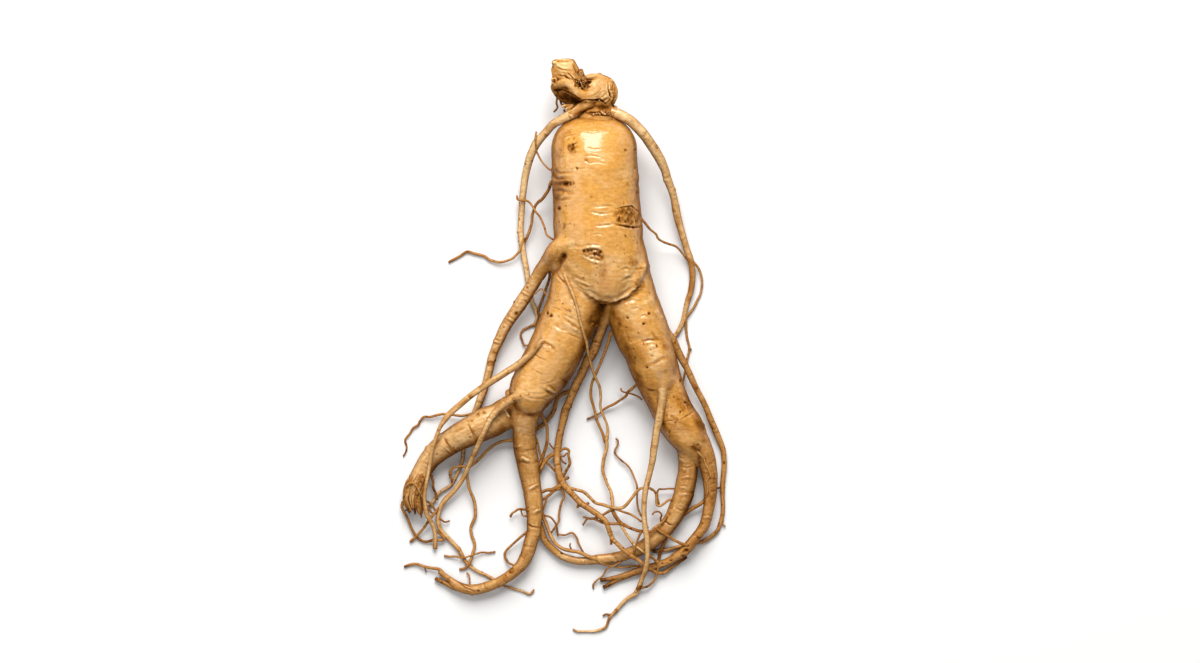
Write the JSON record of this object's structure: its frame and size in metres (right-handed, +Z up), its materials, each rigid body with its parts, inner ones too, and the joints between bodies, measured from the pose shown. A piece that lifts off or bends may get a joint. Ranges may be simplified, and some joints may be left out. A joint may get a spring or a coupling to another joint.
{
  "type": "ginseng root",
  "caption": "Fresh ginseng root lying on a surface: knobbly crown, stout trunk, thin arms, forked legs and a tangle of curved tails and fine rootlets.",
  "frame": {"origin": "centre of the footprint, on the surface the root lies on", "axes": "+Z up, away from the surface; +Y along the root towards the crown; +X towards the side of the leg whose calf splits in two"},
  "size_m": [0.1368, 0.24, 0.033],
  "materials": {
    "root_skin": "fresh root skin, golden tan and slightly waxy, with fine ring wrinkles, brown pits and scars"
  },
  "bodies": {
    "root": {"ginseng_root": "root_skin"}
  },
  "joints": []
}
